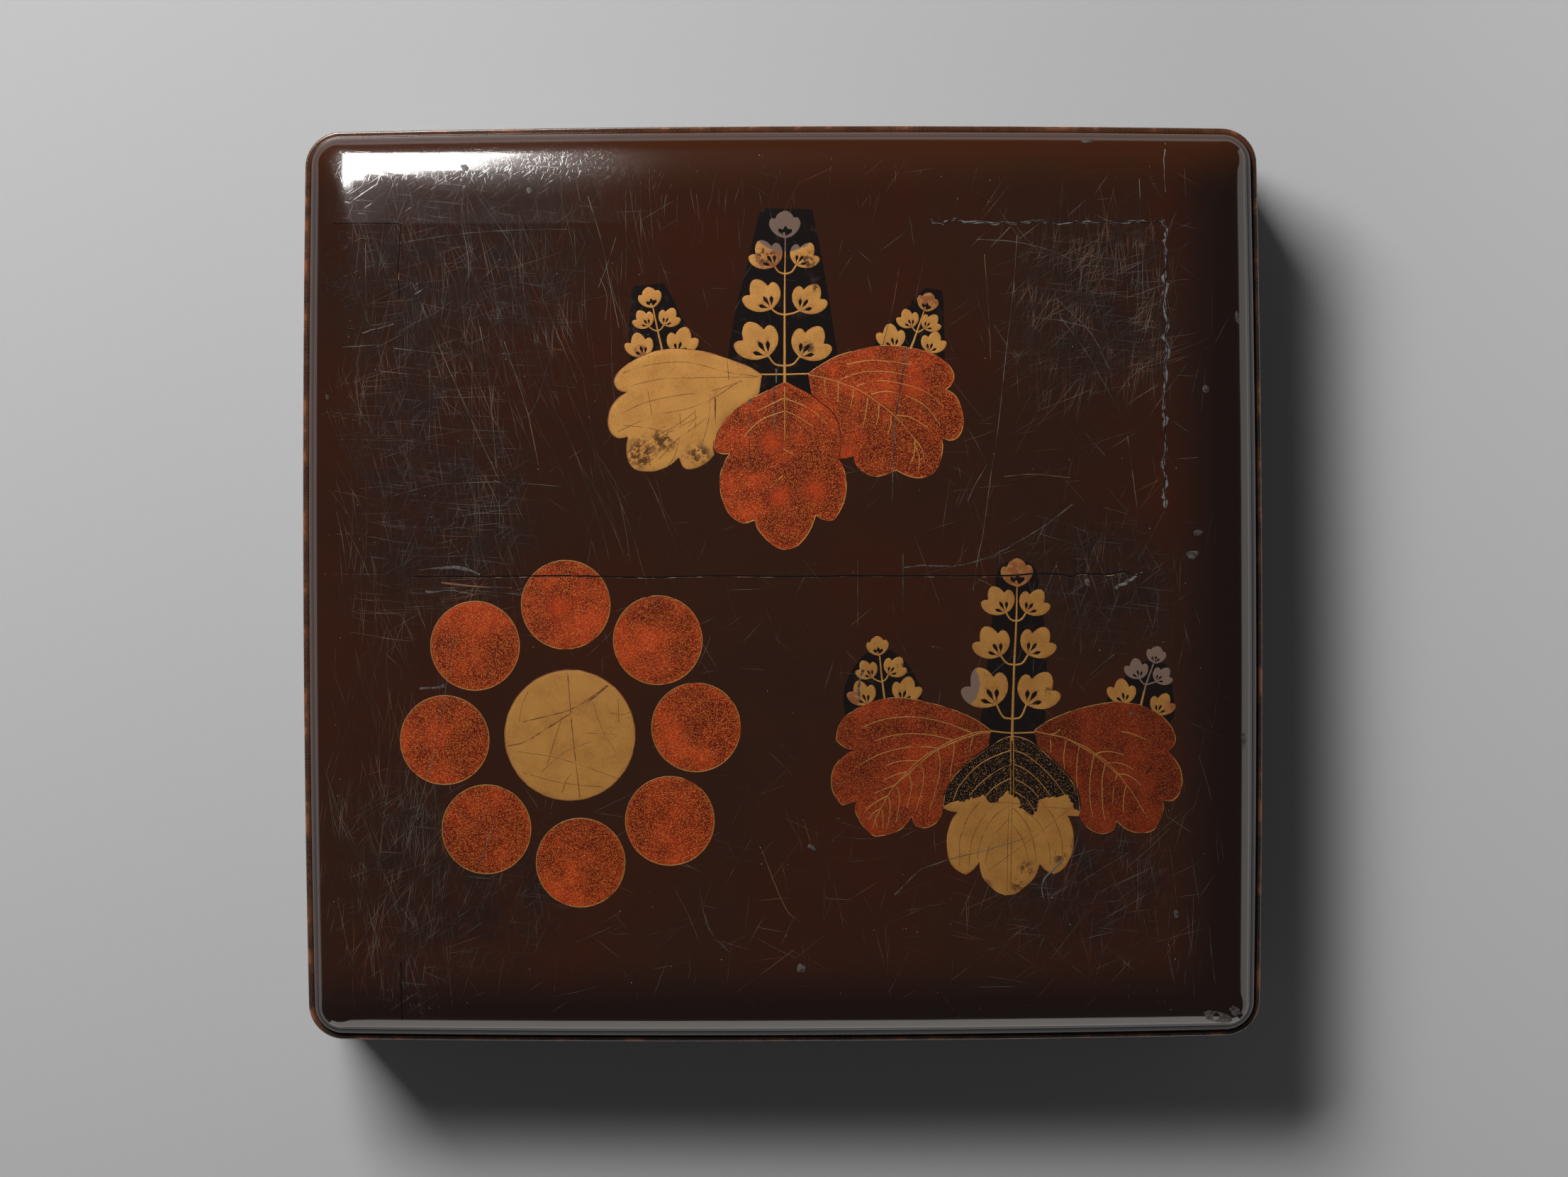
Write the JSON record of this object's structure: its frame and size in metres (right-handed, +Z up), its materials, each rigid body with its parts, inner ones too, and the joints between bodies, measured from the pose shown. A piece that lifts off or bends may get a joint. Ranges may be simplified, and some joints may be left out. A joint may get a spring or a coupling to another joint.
{
  "type": "lidded clothing tray",
  "caption": "Shallow, nearly square lacquer tray for clothes, with bowed sides, rounded corners and a domed full-depth lid that lifts off.",
  "frame": {"origin": "middle of the tray's underside, on the surface that it stands on", "axes": "+X along the longer side, +Y towards the back, +Z up"},
  "size_m": [0.39, 0.372, 0.0923],
  "materials": {
    "brown_black_lacquer": "glossy dark brown urushi lacquer over cloth, scratched and worn",
    "lining_lacquer": "satin black urushi lacquer",
    "cypress_wood": "planed cypress",
    "gold_makie": "burnished gold powder in lacquer, finely scratched",
    "nashiji_makie": "gold flakes under orange-brown lacquer"
  },
  "bodies": {
    "tray": {"tray_base_skin": "brown_black_lacquer", "tray_board_back": "cypress_wood", "tray_board_front": "cypress_wood", "tray_wall_left": "cypress_wood", "tray_wall_right": "cypress_wood", "tray_wall_back": "cypress_wood", "tray_wall_front": "cypress_wood", "tray_corner_back_left": "cypress_wood", "tray_corner_back_right": "cypress_wood", "tray_corner_front_left": "cypress_wood", "tray_corner_front_right": "cypress_wood", "tray_lacquer_skin": "brown_black_lacquer", "tray_lining_skin": "lining_lacquer"},
    "lid": {"lid_wall_left": "cypress_wood", "lid_wall_right": "cypress_wood", "lid_wall_back": "cypress_wood", "lid_wall_front": "cypress_wood", "lid_corner_back_left": "cypress_wood", "lid_corner_back_right": "cypress_wood", "lid_corner_front_left": "cypress_wood", "lid_corner_front_right": "cypress_wood", "lid_rail_back": "cypress_wood", "lid_rail_front": "cypress_wood", "lid_stile_left": "cypress_wood", "lid_stile_right": "cypress_wood", "lid_panel_back": "cypress_wood", "lid_panel_front": "cypress_wood", "lid_lacquer_skin": "brown_black_lacquer", "lid_lining_skin": "lining_lacquer"}
  },
  "joints": [
    {"name": "lid_lift", "type": "slide", "parent": "tray", "child": "lid", "axis": [0, 0, 1], "range_m": [0, 0.1]}
  ]
}
